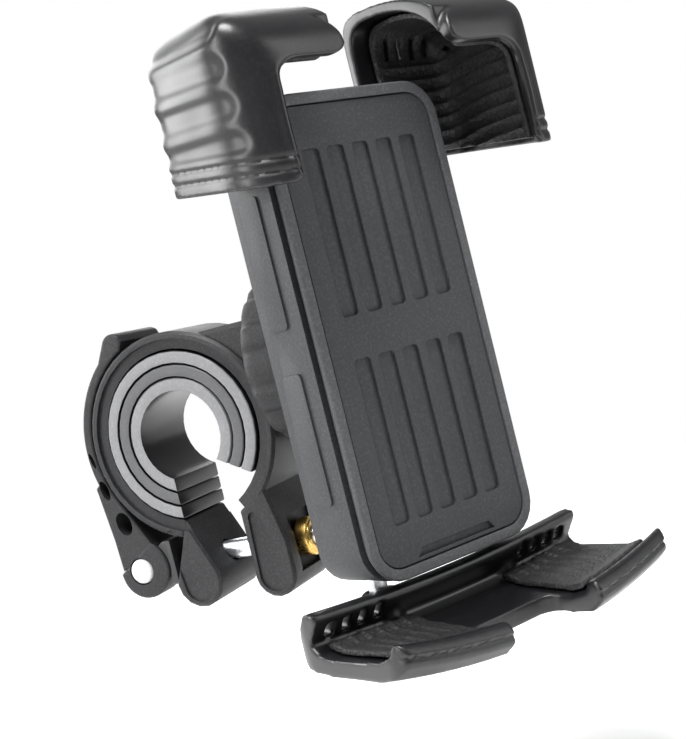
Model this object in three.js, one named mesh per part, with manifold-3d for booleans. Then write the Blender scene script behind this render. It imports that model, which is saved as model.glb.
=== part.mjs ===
// Phone mount for a handlebar: a split ring clamp with nested rubber bushings and a cam lever, a ball
// joint with a locking collar, and a phone holder whose two upper claws and lower jaw slide apart on
// a shared pinion. Millimetres, +Z up. The origin is the centre of the handlebar bore. The holder faces
// -Y; the clamp is turned about Z at the ball joint, so the handlebar runs along the turned X axis.
import * as THREE from "three";
import { mergeVertices } from "three/addons/utils/BufferGeometryUtils.js";
import Module from "manifold-3d";

const wasm = await Module();
wasm.setup();

// ---- driving dimensions -------------------------------------------------------------------------
const GAP = 0.3;                 // clearance between neighbouring pieces
const CLAMP_TURN = 30;           // degrees the clamp is turned from the holder at the ball joint

const CLAMP_W = 21;              // clamp width along the handlebar
const BORE_R = 10.9;             // handlebar bore inside all three bushings
const SHIM_T = 3.2;              // thickness of one bushing
const RING_R = 25;               // outer radius of the clamp ring
const LIP_R = 23.3;              // the ring's face is stepped back inside this radius
const BOLT_U = -30.7;            // height of the draw bolt below the bore
const BOLT_R = 2.4;
const PIVOT_F = -20.7;           // lever pivot, measured forward from the bore
const PIN_R = 3.1;
const CAM_R = 7.8;
const CAM_DROP = 1.5;            // how much the cam releases over its travel
const LEVER_TRAVEL = 150;        // degrees
const LEVER_W = 19;

const BALL_F = 33.6;             // ball centre, forward of the bore
const BALL_U = 11.3;             // ball centre, above the bore
const BALL_R = 9;
const CUP_T = 1.7;
const BARREL_R = 15.5;
const COLLAR_R = 20;

const BODY_HALF_W = 23.2;        // phone holder body
const BODY_HALF_H = 51.1;
const BODY_D = 20.6;
const BODY_R = 8;
const WALL = 2.2;
const BEZEL_FLANGE = 1;
const BEZEL_D = 3.1;
const BEZEL_RIM = 2.4;
const HOUSING_Y = BEZEL_D + GAP;
const BALL_Y = 37;               // ball centre behind the holder's front face
const BALL_Z = -2;

const CLAW_HALF_W = 40.5;
const CLAW_IN_X = 13.5;          // inner end of each upper claw
const CLAW_BACK_Y = 14;
const CLAW_T = 2.7;
const LINER_T = 1.8;
const LIP_X = 31.5;              // inner edge of the claw's front lip
const LIP_Z = 53.2;              // lower edge of the lip's top arm
const LEG_X = [13.8, 20.2];      // claw legs that run in the housing
const LEG_Y = [11.2, 13.9];
const JAW_HALF_W = 38;
const SLIDE_Z = [8, 17];         // crossbar of each slider, above or below the pinion
const RACK_X = [6.1, 12];
const RACK_Y = [14.2, 16.8];
const MODULE = 1.25;
const PINION_TEETH = 10;
const ROD_X = 16.5;
const ROD_Y = 9.5;
const ROD_R = 2.1;
const SPRING_X = 14.6;
const SPRING_Y = 5.9;
const POST_Z = -4;
const PEG_Z = 12.5;
const CLAW_SCREW_X = 18.8;
const SCREW_X = 8;
const SCREW_Z = 45;

// ---- helpers ------------------------------------------------------------------------------------
const rad = THREE.MathUtils.degToRad;

function solid(geometry) {
  const bare = geometry.clone();
  bare.deleteAttribute("normal");
  bare.deleteAttribute("uv");
  const merged = mergeVertices(bare, 1e-4);
  return new wasm.Manifold(new wasm.Mesh({
    numProp: 3,
    vertProperties: new Float32Array(merged.attributes.position.array),
    triVerts: new Uint32Array(merged.index.array),
  }));
}

function geometryOf(body) {
  const mesh = body.getMesh();
  const geometry = new THREE.BufferGeometry();
  geometry.setAttribute("position", new THREE.BufferAttribute(new Float32Array(mesh.vertProperties), 3));
  geometry.setIndex(new THREE.BufferAttribute(new Uint32Array(mesh.triVerts), 1));
  return geometry;
}

// A box between two corners.
function block([x0, x1], [y0, y1], [z0, z1]) {
  const geometry = new THREE.BoxGeometry(x1 - x0, y1 - y0, z1 - z0);
  geometry.translate((x0 + x1) / 2, (y0 + y1) / 2, (z0 + z1) / 2);
  return solid(geometry);
}

// A round bar along one axis between two positions.
function bar(axis, radius, [from, to], [p, q], sides = 24, farRadius = radius) {
  const geometry = new THREE.CylinderGeometry(farRadius, radius, to - from, sides);
  geometry.translate(0, (from + to) / 2, 0);
  if (axis === "x") geometry.rotateZ(-Math.PI / 2).translate(0, p, q);
  if (axis === "y") geometry.translate(p, 0, q);
  if (axis === "z") geometry.rotateX(Math.PI / 2).translate(p, q, 0);
  return solid(geometry);
}

function ball(radius, [x, y, z], sides = 32) {
  return solid(new THREE.SphereGeometry(radius, sides, sides / 2).translate(x, y, z));
}

function roundedRect(halfW, halfH, r, cx = 0, cz = 0) {
  const shape = new THREE.Shape();
  shape.absarc(cx + halfW - r, cz + halfH - r, r, 0, Math.PI / 2);
  shape.absarc(cx - halfW + r, cz + halfH - r, r, Math.PI / 2, Math.PI);
  shape.absarc(cx - halfW + r, cz - halfH + r, r, Math.PI, 1.5 * Math.PI);
  shape.absarc(cx + halfW - r, cz - halfH + r, r, 1.5 * Math.PI, 2 * Math.PI);
  shape.closePath();
  return shape;
}

function extruded(shape, depth, bevel, curveSegments, steps = 1) {
  return new THREE.ExtrudeGeometry(shape, {
    depth: depth - 2 * bevel,
    bevelEnabled: bevel > 0,
    bevelSize: bevel,
    bevelThickness: bevel,
    bevelOffset: -bevel,
    bevelSegments: 1,
    curveSegments,
    steps,
  }).translate(0, 0, bevel);
}

// Outline in x and z, extruded along +Y from y0 to y1.
function plate(shape, [y0, y1], bevel = 0, curveSegments = 6) {
  return solid(extruded(shape, y1 - y0, bevel, curveSegments).rotateX(Math.PI / 2).translate(0, y1, 0));
}

// Outline in y and z, extruded along +X from x0 to x1.
function sideways(shape, [x0, x1], bevel = 0, curveSegments = 6) {
  const geometry = extruded(shape, x1 - x0, bevel, curveSegments);
  return solid(geometry.rotateX(Math.PI / 2).rotateZ(Math.PI / 2).translate(x0, 0, 0));
}

// Outline in x and y, extruded along +Z from z0 to z1.
function upright(shape, [z0, z1], curveSegments = 6) {
  return solid(extruded(shape, z1 - z0, 0, curveSegments).translate(0, 0, z0));
}

// Outline drawn as forward and up in the clamp's side view, extruded over the width along the bar.
function across(shape, halfWidth, bevel = 0, curveSegments = 8) {
  const geometry = extruded(shape, 2 * halfWidth, bevel, curveSegments);
  const forward = new THREE.Vector3(0, -1, 0);
  const up = new THREE.Vector3(0, 0, 1);
  const side = new THREE.Vector3(-1, 0, 0);
  geometry.applyMatrix4(new THREE.Matrix4().makeBasis(forward, up, side));
  return solid(geometry.translate(halfWidth, 0, 0));
}

function polygon(points) {
  return new THREE.Shape(points.map(([p, q]) => new THREE.Vector2(p, q)));
}

function disc(radius, p = 0, q = 0) {
  const shape = new THREE.Shape();
  shape.absarc(p, q, radius, 0, 2 * Math.PI);
  return shape;
}

// Turned profile of [radius, position] pairs about the Y axis through (x, z).
function turnedY(profile, [x, y, z], sides = 40) {
  const points = profile.map(([r, s]) => new THREE.Vector2(r, s));
  if (THREE.ShapeUtils.area(points) < 0) points.reverse();
  return solid(new THREE.LatheGeometry(points, sides).translate(x, y, z));
}

const mirrorX = (body) => body.mirror([1, 0, 0]);

function material(color, roughness, metalness) {
  return new THREE.MeshStandardMaterial({ color, roughness, metalness });
}

const looks = {
  plastic: () => material(0x2a2a2c, 0.62, 0),
  gloss: () => material(0x1c1c1e, 0.35, 0),
  rubber: () => material(0x6b6b6d, 0.8, 0),
  silicone: () => material(0x232325, 0.75, 0),
  steel: () => material(0xb9bbbd, 0.3, 1),
  brass: () => material(0xc9a13b, 0.3, 1),
  nylon: () => material(0xd8d5cc, 0.5, 0),
};

const clamp = new THREE.Group();
clamp.rotation.z = rad(CLAMP_TURN);
const holder = new THREE.Group();
const turn = rad(CLAMP_TURN);
holder.position.set(
  BALL_F * Math.sin(turn),
  -BALL_F * Math.cos(turn) - BALL_Y,
  BALL_U - BALL_Z,
);

function add(group, name, body, look) {
  const mesh = new THREE.Mesh(geometryOf(body), looks[look]());
  mesh.name = name;
  group.add(mesh);
}

// ---- handlebar clamp ----------------------------------------------------------------------------
const HALF_W = CLAMP_W / 2;
const SEAT_R = BORE_R + 3 * SHIM_T + GAP;
const BARREL_BACK = 8;
const FACE_STEP = 1.1;

// The two clamping legs, as outlines in forward and up.
const REAR_FACE = -11.2;
const REAR_LEG = { foot: [-4.9, -35.4], footR: 6.3, inner: [-4.7, -19.5] };
const FRONT_LEG = { foot: [15.9, -36.6], footR: 5.4, inner: [10.7, -18] };
const PLATE_T = 1.1;

function teardrop([f0, u0], r0, [f1, u1], r1) {
  const lean = Math.atan2(f1 - f0, u0 - u1);
  const shape = new THREE.Shape();
  shape.absarc(f0, u0, r0, lean, lean + Math.PI);
  shape.absarc(f1, u1, r1, lean + Math.PI, lean + 2 * Math.PI);
  shape.closePath();
  return shape;
}

function clampBody() {
  const ring = new THREE.Shape();
  const start = Math.atan2(FRONT_LEG.inner[1], FRONT_LEG.inner[0]);
  const end = Math.atan2(REAR_LEG.inner[1], REAR_LEG.inner[0]) + 2 * Math.PI;
  ring.absarc(0, 0, RING_R, start, end);
  ring.absarc(0, 0, SEAT_R, end, start, true);
  ring.closePath();
  const rearShape = new THREE.Shape();
  rearShape.moveTo(REAR_FACE, -19);
  rearShape.absarc(REAR_LEG.foot[0], REAR_LEG.foot[1], REAR_LEG.footR, rad(180), rad(376), false);
  rearShape.lineTo(-4.7, -20.4);
  rearShape.closePath();
  const frontShape = new THREE.Shape();
  frontShape.moveTo(10.7, -20.4);
  frontShape.lineTo(10.6, -35.5);
  frontShape.absarc(FRONT_LEG.foot[0], FRONT_LEG.foot[1], FRONT_LEG.footR, rad(180), rad(360), false);
  frontShape.lineTo(21.3, -29);
  frontShape.lineTo(18.4, -16);
  frontShape.closePath();
  const neck = polygon([[2, 22.8], [26.6, 22.8], [26.6, -0.2], [20, -6], [12, 6]]);
  let body = across(ring, HALF_W, 0.7, 20);
  body = body.add(across(rearShape, HALF_W, 0.7, 4)).add(across(frontShape, HALF_W, 0.7, 4));
  body = body.add(across(neck, 9, 1.2));
  body = body.add(bar("y", BARREL_R, [-BALL_F + 0.5, -BALL_F + BARREL_BACK], [0, BALL_U], 36));
  body = body.subtract(across(disc(SEAT_R), HALF_W + 1, 0, 20));
  for (const side of [-1, 1]) {
    const step = across(disc(LIP_R), FACE_STEP, 0, 18).translate([side * HALF_W, 0, 0]);
    body = body.subtract(step);
    const marks = across(teardrop([-9.3, -23.2], 1.4, [-4.9, -36.2], 4.1), 0.7, 0, 4)
      .add(across(teardrop([14, -22.6], 1.5, [15.9, -36.6], 4), 0.7, 0, 4));
    body = body.subtract(marks.translate([side * HALF_W, 0, 0]));
  }
  const socket = ball(BALL_R + CUP_T + 2 * GAP, [0, -BALL_F, BALL_U], 24);
  const bolt = bar("y", BOLT_R + 0.5, [-40, 40], [0, BOLT_U], 12);
  const pocket = block([-6.5, 6.5], [-30, -19.2], [-37.6, -24]);
  return body.subtract(socket).subtract(bolt).subtract(pocket);
}

// One split rubber bushing between two radii.
function shim(inner, outer) {
  const slot = polygon([[-4.6, 0], [-4.6, -30], [24, -30], [24, -16.4]]);
  const ring = across(disc(outer), HALF_W - 0.2, 0.4, 18).subtract(across(disc(inner), HALF_W + 1, 0, 18));
  return ring.subtract(across(slot, HALF_W + 2));
}

function lever() {
  const inner = 25.8;
  const outer = 28.4;
  const shape = new THREE.Shape();
  shape.absarc(0, 0, inner, rad(101), rad(204));
  shape.lineTo(-15.2, -25.6);
  const boss = new THREE.Shape();
  const steps = 18;
  for (let i = 0; i <= steps; i += 1) {
    const angle = rad(60 - (i / steps) * 240);
    const released = THREE.MathUtils.clamp(-angle / rad(LEVER_TRAVEL), 0, 1.1);
    const r = CAM_R - CAM_DROP * released;
    const point = [PIVOT_F + r * Math.cos(angle), BOLT_U + r * Math.sin(angle)];
    if (i === 0) boss.moveTo(...point);
    else boss.lineTo(...point);
  }
  boss.closePath();
  shape.lineTo(-15.2, -27);
  shape.lineTo(-26.2, -30);
  shape.lineTo(-26.3, -22);
  shape.lineTo(-28.1, -8.6);
  shape.absarc(0, 0, outer, rad(196), rad(115), true);
  shape.quadraticCurveTo(-9.4, 28.6, -7.2, 27.4);
  shape.closePath();
  let body = across(shape, LEVER_W / 2, 0.6, 10).add(across(boss, LEVER_W / 2, 0.6));
  const eye = disc(5.6, PIVOT_F, BOLT_U);
  const sweep = new THREE.Shape();
  sweep.moveTo(PIVOT_F, BOLT_U);
  sweep.absarc(PIVOT_F, BOLT_U, 14, rad(24), rad(-180), true);
  sweep.closePath();
  body = body.subtract(across(eye, 3)).subtract(across(sweep, 3));
  body = body.subtract(across(disc(PIN_R + GAP, PIVOT_F, BOLT_U), LEVER_W));
  const holes = [[-26.9, -1.6, 0.5, 2.1], [-25.5, -9.4, 1.1, 2.6], [-22.4, -18.4, 2.1, 3]];
  for (const [f, u, halfF, halfU] of holes) {
    const hole = new THREE.Shape();
    hole.absellipse(f, u, halfF, halfU, 0, 2 * Math.PI, false, rad(14));
    body = body.subtract(across(hole, LEVER_W, 0, 4));
  }
  return body;
}

function drawBolt() {
  const eye = across(disc(5.2, PIVOT_F, BOLT_U), 2.6, 0.4).subtract(across(disc(PIN_R + GAP, PIVOT_F, BOLT_U), 5));
  const shank = bar("y", BOLT_R, [-25.2, -PIVOT_F - 4], [0, BOLT_U], 20);
  return eye.add(shank);
}

function brassNut() {
  const outer = bar("y", 4.7, [-23.6, -19.8 - GAP], [0, BOLT_U], 32);
  const chamfer = bar("y", 4.1, [-24.2, -19.8], [0, BOLT_U], 32);
  return outer.intersect(chamfer.add(bar("y", 5, [-23.2, -19.8], [0, BOLT_U], 32)))
    .subtract(bar("y", BOLT_R + GAP, [-30, 0], [0, BOLT_U], 20));
}

function camPlate() {
  const back = -REAR_FACE + GAP;
  return block([-HALF_W + 1.5, HALF_W - 1.5], [back, back + PLATE_T], [BOLT_U - 5, BOLT_U + 5])
    .subtract(bar("y", BOLT_R + 0.5, [0, 40], [0, BOLT_U], 12));
}

// ---- ball joint ---------------------------------------------------------------------------------
const SEAT_BALL_R = BALL_R + GAP;

// Points of an arc of the ball's meridian, from one forward position to another.
function meridian(radius, from, to, steps) {
  return Array.from({ length: steps + 1 }, (_, i) => {
    const s = from + ((to - from) * i) / steps;
    return [Math.sqrt(Math.max(radius * radius - s * s, 0)), s];
  });
}

function lockingCollar() {
  const profile = [
    [BARREL_R + GAP, BARREL_BACK], [BARREL_R + GAP, 0.2],
    ...meridian(SEAT_BALL_R, 0.2, -3.6, 3),
    [10.6, -5], [17.6, -5], [COLLAR_R, -3.4], [COLLAR_R, BARREL_BACK - 0.8], [COLLAR_R - 0.8, BARREL_BACK],
    [BARREL_R + GAP, BARREL_BACK],
  ];
  let body = turnedY(profile, [0, -BALL_F, BALL_U], 36);
  const grooves = 12;
  for (let i = 0; i < grooves; i += 1) {
    const angle = (i / grooves) * 2 * Math.PI;
    const groove = block([-1.7, 1.7], [-BALL_F - 6, -BALL_F + 20], [COLLAR_R - 0.9, COLLAR_R + 2]);
    body = body.subtract(groove.rotate([0, (angle * 180) / Math.PI, 0]).translate([0, 0, BALL_U]));
  }
  return body;
}

function ballCup() {
  const reach = 6.2;
  const outer = BALL_R + GAP + CUP_T;
  const profile = [...meridian(outer, outer, reach, 5), ...meridian(SEAT_BALL_R, reach, SEAT_BALL_R, 5)];
  return turnedY(profile, [0, -BALL_F, BALL_U], 24);
}

// The ball and the stud belong to the holder's frame, where the stud runs along Y.
const STUD_R = 2.6;

function jointBall() {
  return ball(BALL_R, [0, BALL_Y, BALL_Z], 20)
    .subtract(bar("y", STUD_R + GAP, [BALL_Y - 12, BALL_Y + 12], [0, BALL_Z], 14))
    .subtract(block([-12, 12], [BALL_Y - 12, BALL_Y - 7.4], [BALL_Z - 12, BALL_Z + 12]));
}

function ballStud() {
  const flange = turnedY([[0, BODY_D + GAP], [10.4, BODY_D + GAP], [10.4, BODY_D + 1.6], [9.6, BODY_D + 2.4],
    [5.2, BODY_D + 2.8], [3.6, BODY_D + 4.4], [3.6, BALL_Y - 7.4 - GAP], [STUD_R, BALL_Y - 7.4 - GAP],
    [STUD_R, BALL_Y + 7.2], [0, BALL_Y + 7.2]], [0, 0, BALL_Z], 20);
  return flange;
}

// ---- holder body --------------------------------------------------------------------------------
const LINER_GAP = GAP;

function rearHousing() {
  const outline = roundedRect(BODY_HALF_W, BODY_HALF_H, BODY_R);
  const inner = roundedRect(BODY_HALF_W - WALL, BODY_HALF_H - WALL, BODY_R - WALL);
    let body = plate(outline, [BODY_D - 12, BODY_D], 2.2, 3).add(plate(outline, [HOUSING_Y, BODY_D - 6], 0, 3));
  for (const side of [-1, 1]) {
    for (const half of [-1, 1]) {
      const panel = roundedRect(3.5, 14.1, 1, 11.6, half * 18.8);
      const raised = [side * (BODY_HALF_W - 1), side * (BODY_HALF_W + 0.5)].sort((p, q) => p - q);
      body = body.add(sideways(panel, raised, 0, 1));
    }
  }
  body = body.subtract(plate(inner, [HOUSING_Y - 1, BODY_D - WALL], 0, 3));
  for (const side of [-1, 1]) {
    const legs = [side * LEG_X[0], side * LEG_X[1]].sort((p, q) => p - q);
    body = body.subtract(block([legs[0] - GAP, legs[1] + GAP], [LEG_Y[0] - GAP, LEG_Y[1] + GAP], [30, 60]));
    body = body.subtract(bar("z", ROD_R + GAP, [-60, -30], [side * ROD_X, ROD_Y], 14));
    body = body.add(bar("y", 1.2, [SPRING_Y - 1.4, BODY_D - 1], [side * SPRING_X, POST_Z], 10));
    for (const half of [-1, 1]) {
      body = body.add(bar("y", 2.6, [8.3, BODY_D - 1], [side * SCREW_X, half * SCREW_Z], 8));
      body = body.subtract(bar("y", 1.3, [2, BODY_D + 1], [side * SCREW_X, half * SCREW_Z], 8));
      body = body.subtract(bar("y", 2.5, [BODY_D - 1.7, BODY_D + 1], [side * SCREW_X, half * SCREW_Z], 8));
    }
  }
  return body;
}

function bezel() {
  let body = plate(roundedRect(BODY_HALF_W, BODY_HALF_H, BODY_R), [0, BEZEL_FLANGE], 0.4, 3);
  body = body.add(plate(roundedRect(BODY_HALF_W - 1.3, BODY_HALF_H - 1.3, BODY_R - 1.3), [0.5, BEZEL_D], 0, 3));
  const window = roundedRect(BODY_HALF_W - BEZEL_RIM, BODY_HALF_H - BEZEL_RIM, BODY_R - BEZEL_RIM);
  body = body.subtract(plate(window, [-1, 2.2], 0, 3));
  for (const side of [-1, 1]) {
    for (const half of [-1, 1]) {
      body = body.add(bar("y", 2.4, [BEZEL_D - 0.5, 8], [side * SCREW_X, half * SCREW_Z], 8));
      body = body.subtract(bar("y", 1.3, [4, 9], [side * SCREW_X, half * SCREW_Z], 8));
    }
  }
  return body;
}

function pad() {
  const inset = BEZEL_RIM + GAP;
  let body = plate(roundedRect(BODY_HALF_W - inset, BODY_HALF_H - inset, BODY_R - inset), [0.25, 1.9], 0.3, 3);
  const slots = 5;
  for (let i = 0; i < slots; i += 1) {
    const x = (i - (slots - 1) / 2) * 6.5;
    for (const z of [21.9, -22.3]) {
      body = body.subtract(plate(roundedRect(2.15, 17.6, 0.7, x, z), [-1, 0.95], 0, 1));
    }
  }
  return body;
}

function housingScrew(side, half) {
  const at = [side * SCREW_X, half * SCREW_Z];
  const head = bar("y", 2.2, [BODY_D - 1.7 + GAP, BODY_D - 0.1], at, 12);
  const recess = block([at[0] - 0.3, at[0] + 0.3], [BODY_D - 0.7, BODY_D + 1], [at[1] - 1.4, at[1] + 1.4])
    .add(block([at[0] - 1.4, at[0] + 1.4], [BODY_D - 0.7, BODY_D + 1], [at[1] - 0.3, at[1] + 0.3]));
  return head.add(bar("y", 1, [4.4, BODY_D - 1], at, 8)).subtract(recess);
}

// ---- sliding claws and jaw ----------------------------------------------------------------------
// Side profile of an upper claw, in y and z: back wall, sloping roof and front lip.
function clawProfile(inset) {
  const shape = new THREE.Shape();
  const back = CLAW_BACK_Y - inset;
  const front = -20 + inset;
  shape.moveTo(back, 20);
  shape.lineTo(back, 65 - inset);
  shape.quadraticCurveTo(back, 68.4 - inset, back - 4.5, 68.4 - inset);
  shape.quadraticCurveTo(1, 68 - inset, -7, 65.2 - inset);
  shape.quadraticCurveTo(front - 0.5, 61.5 - inset, front, 55);
  shape.lineTo(front, 20);
  shape.closePath();
  return shape;
}

// Plan of an upper claw, in x and y, with its large outer front corner.
function clawPlan(inset) {
  const side = CLAW_HALF_W - inset;
  const back = CLAW_BACK_Y - inset;
  const front = -20 + inset;
  const shape = new THREE.Shape();
  const cornerR = 11 - inset;
  const backR = Math.max(4.5 - inset, 0.5);
  shape.moveTo(CLAW_IN_X, back);
  shape.lineTo(CLAW_IN_X, front);
  shape.lineTo(side - cornerR, front);
  shape.absarc(side - cornerR, front + cornerR, cornerR, -Math.PI / 2, 0);
  shape.absarc(side - backR, back - backR, backR, 0, Math.PI / 2);
  shape.closePath();
  return shape;
}

// Front outline of an upper claw, in x and z, with its rounded top outer corner.
function clawFront(inset) {
  const side = CLAW_HALF_W - inset;
  const r = 9 - inset;
  const top = 69 - inset;
  const shape = new THREE.Shape();
  shape.moveTo(CLAW_IN_X, 20);
  shape.lineTo(side, 20);
  shape.absarc(side - r, 64.6 - inset - r, r, 0, Math.PI * 0.42);
  shape.lineTo(CLAW_IN_X + 4, top);
  shape.lineTo(CLAW_IN_X, top);
  shape.closePath();
  return shape;
}

function clawBlank(inset) {
  return sideways(clawProfile(inset), [CLAW_IN_X, CLAW_HALF_W], 0, 5)
    .intersect(upright(clawPlan(inset), [10, 80], 4))
    .intersect(plate(clawFront(inset), [-30, 30], 0, 4));
}

// Everything above the claw's sloping lower edge.
function aboveClawEdge() {
  return sideways(polygon([[-30, 28.6], [30, 37.8], [30, 90], [-30, 90]]), [0, 60]);
}

// The opening between the lip's two arms.
function lipWindow() {
  const shape = new THREE.Shape();
  shape.moveTo(0, 0);
  shape.lineTo(LIP_X, 0);
  shape.lineTo(LIP_X, LIP_Z - 4);
  shape.quadraticCurveTo(LIP_X, LIP_Z, LIP_X - 4, LIP_Z);
  shape.lineTo(0, LIP_Z);
  shape.closePath();
  return shape;
}

function upperClaw() {
  const pocket = clawBlank(CLAW_T).add(clawBlank(CLAW_T).translate([-12, 0, 0]));
  let body = clawBlank(0).subtract(pocket);
  body = body.subtract(plate(lipWindow(), [-30, -14], 0, 6));
  const tip = new THREE.Shape();
  tip.moveTo(0, 80);
  tip.lineTo(0, 40);
  tip.lineTo(17, LIP_Z);
  tip.quadraticCurveTo(CLAW_IN_X, LIP_Z + 0.6, CLAW_IN_X + 0.2, 56.4);
  tip.quadraticCurveTo(CLAW_IN_X + 0.4, 59.4, 18, 61.6);
  tip.lineTo(19, 80);
  tip.closePath();
  body = body.subtract(plate(tip, [-30, -16.5], 0, 6));
  const finger = 3.1;
  for (const z of [40.2, 47.4, 54.6]) {
    body = body.subtract(bar("y", 4.2, [-16, 20], [CLAW_HALF_W + finger, z], 14));
  }
  body = body.intersect(aboveClawEdge());
  body = body.subtract(block([0, BODY_HALF_W + 1.2], [-2, 22], [0, BODY_HALF_H + 0.9]));
  for (let i = 0; i < 4; i += 1) {
    const x = 22.5 + i * 4;
    body = body.subtract(block([x, x + 2.4], [6, 20], [58.2, 63]));
  }
  return body.add(block(LEG_X, LEG_Y, [SLIDE_Z[0], BODY_HALF_H + 3]));
}

function clawLiner() {
  const skin = CLAW_T + LINER_GAP;
  const hollow = clawBlank(skin + LINER_T);
  let body = clawBlank(skin).subtract(hollow.add(hollow.translate([-12, 0, 0])));
  body = body.subtract(plate(lipWindow(), [-30, -12], 0, 6));
  for (let i = 0; i < 4; i += 1) {
    const x = 22.9 + i * 4;
    body = body.subtract(block([x, x + 1.6], [5, 20], [58.6, 62.6]));
  }
  body = body.intersect(aboveClawEdge().translate([0, 0, 1]));
  body = body.intersect(block([CLAW_IN_X + 4, 60], [-30, 40], [0, 90]));
  return body.subtract(block([0, BODY_HALF_W + 1.5], [-2, 22], [0, BODY_HALF_H + 1.2]));
}

// Slider with its crossbar and rack. The lower one is the upper one turned half a turn about Y.
const RACK_PITCH = Math.PI * MODULE;
const PITCH_R = (MODULE * PINION_TEETH) / 2;
const BACKLASH = 0.5;

function rackTeeth(count, zTop) {
  const addendum = 0.85 * MODULE;
  const root = RACK_X[0] + 2.6;
  const face = PITCH_R - addendum;
  const slope = (2 * addendum) * Math.tan(rad(20));
  const tipHalf = RACK_PITCH / 4 - BACKLASH / 2 - slope / 2;
  const baseHalf = tipHalf + slope + 0.35;
  let teeth = null;
  for (let i = 0; i < count; i += 1) {
    const z = zTop - i * RACK_PITCH;
    const tooth = plate(polygon([[root + 0.5, z - baseHalf], [root + 0.5, z + baseHalf],
      [PITCH_R + addendum + 0.4, z + tipHalf + slope], [face, z + tipHalf], [face, z - tipHalf],
      [PITCH_R + addendum + 0.4, z - tipHalf - slope]]), RACK_Y);
    teeth = teeth ? teeth.add(tooth) : tooth;
  }
  return teeth;
}

function slider() {
  const back = [PITCH_R + 0.85 * MODULE + 0.4, RACK_X[1]];
  return block([-LEG_X[1], LEG_X[1]], [8.2, 10.9], SLIDE_Z)
    .add(block(back, [8.2, RACK_Y[1]], SLIDE_Z))
    .add(block(back, RACK_Y, [-34, SLIDE_Z[1]]))
    .add(rackTeeth(10, RACK_PITCH / 2));
}

function upperSlider() {
  let body = slider();
  for (const side of [-1, 1]) {
    body = body.add(bar("y", 1.2, [SPRING_Y - 1.4, 9], [side * SPRING_X, PEG_Z], 14));
    body = body.subtract(bar("y", 1.2, [7, 12], [side * CLAW_SCREW_X, PEG_Z], 8));
  }
  return body;
}

function lowerSlider() {
  let body = slider().rotate([0, 180, 0]);
  for (const side of [-1, 1]) {
    const sleeve = [side * (ROD_X - 3.7), side * (ROD_X + 3.7)].sort((p, q) => p - q);
    body = body.add(block(sleeve, [6.2, 12.9], [-SLIDE_Z[1], -SLIDE_Z[0]]));
    body = body.subtract(bar("z", ROD_R + GAP, [-SLIDE_Z[1] - 1, -SLIDE_Z[0] - 1.5], [side * ROD_X, ROD_Y], 20));
  }
  return body;
}

function clawScrew(side) {
  const at = [side * CLAW_SCREW_X, PEG_Z];
  return bar("y", 1.9, [6.6, 7.9], at, 12).add(bar("y", 0.9, [7, 10.9], at, 8));
}

function pinion() {
  const shape = new THREE.Shape();
  const tip = PITCH_R + 0.8 * MODULE;
  const root = PITCH_R - 1.15 * MODULE;
  const tooth = (2 * Math.PI) / PINION_TEETH;
  const play = BACKLASH / PITCH_R / 2;
  for (let i = 0; i < PINION_TEETH; i += 1) {
    const middle = i * tooth;
    const flank = [[root, 0.33], [PITCH_R - 0.5 * MODULE, 0.285], [PITCH_R, 0.25], [tip, 0.135]];
    const rising = flank.map(([r, share]) => [r, middle - share * tooth + play / 2]);
    const falling = flank.map(([r, share]) => [r, middle + share * tooth - play / 2]).reverse();
    for (const [r, angle] of [...rising, ...falling]) {
      const point = [r * Math.cos(angle), r * Math.sin(angle)];
      if (i === 0 && angle === rising[0][1]) shape.moveTo(...point);
      else shape.lineTo(...point);
    }
  }
  shape.closePath();
  return plate(shape, RACK_Y).subtract(bar("y", 2.3, [10, 20], [0, 0], 20));
}

function pinionAxle() {
  return bar("y", 2, [12.6, BODY_D - WALL - GAP], [0, 0], 20).add(bar("y", 3.4, [12.6, RACK_Y[0] - GAP], [0, 0], 20));
}

// Extension spring with a loop at each end, along +Z from the housing post to the slider's peg.
function spring(side) {
  const loopR = 2.1;
  const coilR = 1.4;
  const coils = 5;
  const perCoil = 6;
  const x = side * SPRING_X;
  const low = POST_Z + loopR + 0.6;
  const high = PEG_Z - loopR - 0.6;
  const loop = (z, sign, from, to) => Array.from({ length: 9 }, (_, i) => {
    const a = rad(from + ((to - from) * i) / 8);
    return new THREE.Vector3(x + loopR * Math.sin(a), SPRING_Y, z + sign * loopR * Math.cos(a));
  });
  const coil = Array.from({ length: coils * perCoil + 1 }, (_, i) => {
    const a = (i / perCoil) * 2 * Math.PI;
    const z = low + ((high - low) * i) / (coils * perCoil);
    return new THREE.Vector3(x + coilR * Math.sin(a), SPRING_Y - coilR * Math.cos(a) * 0.9, z);
  });
  const curve = new THREE.CatmullRomCurve3([
    ...loop(POST_Z, 1, -320, -20), ...coil, ...loop(PEG_Z, -1, 20, 320),
  ]);
  return solid(new THREE.ExtrudeGeometry(disc(0.36), {
    extrudePath: curve, steps: 64, curveSegments: 2, bevelEnabled: false,
  }));
}

// Section of the lower jaw, in y and z: leaning back wall, shelf and front lip.
const JAW_SECTION = [[5.8, -51.2], [7.4, -51.6], [13, -58.2], [12.4, -61.6], [10, -62.9], [2, -63.6],
  [-14, -63.4], [-19.6, -62.4], [-22.4, -59.6], [-22.2, -57], [-20.8, -55.9], [-19.6, -56.6],
  [-18.6, -58.4], [-15, -59.6], [0, -60.1], [4.6, -59.4], [6.6, -57.6], [3, -52.8], [3.4, -51.4]];

// How far the jaw sinks and bows forward towards its middle.
const jawShare = (x) => 1 - (x / JAW_HALF_W) ** 2;

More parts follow.
